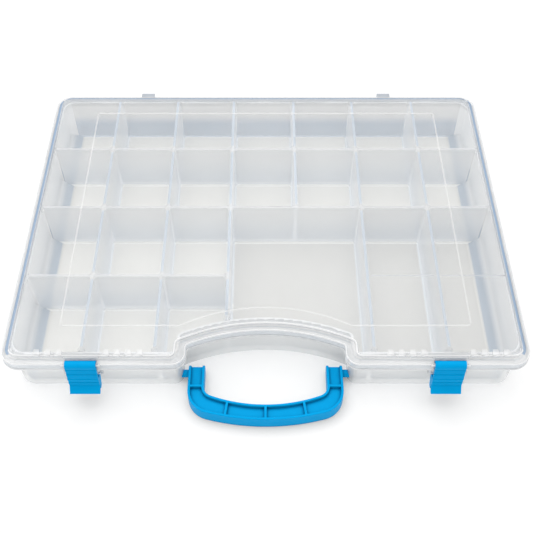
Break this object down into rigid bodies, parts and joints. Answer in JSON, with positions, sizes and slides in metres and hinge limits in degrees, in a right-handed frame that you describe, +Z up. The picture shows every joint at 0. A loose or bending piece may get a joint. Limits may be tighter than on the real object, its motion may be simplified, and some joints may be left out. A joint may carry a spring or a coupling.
{
  "type": "compartment storage box",
  "caption": "Flat clear divided storage box with a hinged lid, snap latches in the front edge and a fold-up carry handle in a front recess.",
  "frame": {"origin": "on the surface that the box stands on, under the middle of the lid's plan", "axes": "+X along the length towards the right as seen from the handle side, +Y from the handle side to the hinge side, +Z up"},
  "size_m": [0.38, 0.3146, 0.0482],
  "materials": {
    "tray_clear": "clear polypropylene, slightly milky, smooth moulded faces",
    "lid_clear": "clear polypropylene, smooth moulded faces",
    "handle_blue": "bright blue moulded plastic",
    "latch_blue": "bright blue moulded plastic"
  },
  "bodies": {
    "tray": {"tray_walls": "tray_clear", "tray_floor": "tray_clear", "row_divider_back": "tray_clear", "row_divider_middle": "tray_clear", "row_divider_front": "tray_clear", "column_divider_1": "tray_clear", "column_divider_2": "tray_clear", "column_divider_3": "tray_clear", "column_divider_4": "tray_clear", "column_divider_5": "tray_clear", "column_divider_6": "tray_clear"},
    "lid": {"lid_plate": "lid_clear", "lid_rim": "lid_clear"},
    "handle": {"carry_handle": "handle_blue"},
    "latch_left": {"latch_left": "latch_blue"},
    "latch_right": {"latch_right": "latch_blue"}
  },
  "joints": [
    {"name": "lid_hinge", "type": "hinge", "parent": "tray", "child": "lid", "pos_m": [0, 0.144, 0.0348], "axis": [-1, 0, 0], "range_deg": [0, 180]},
    {"name": "handle_pivot", "type": "hinge", "parent": "tray", "child": "handle", "pos_m": [0, -0.1268, 0.006], "axis": [-1, 0, 0], "range_deg": [0, 80]},
    {"name": "latch_left_pivot", "type": "hinge", "parent": "lid", "child": "latch_left", "pos_m": [-0.131, -0.1411, 0.0428], "axis": [-1, 0, 0], "range_deg": [0, 110]},
    {"name": "latch_right_pivot", "type": "hinge", "parent": "lid", "child": "latch_right", "pos_m": [0.131, -0.1411, 0.0428], "axis": [-1, 0, 0], "range_deg": [0, 110]}
  ]
}
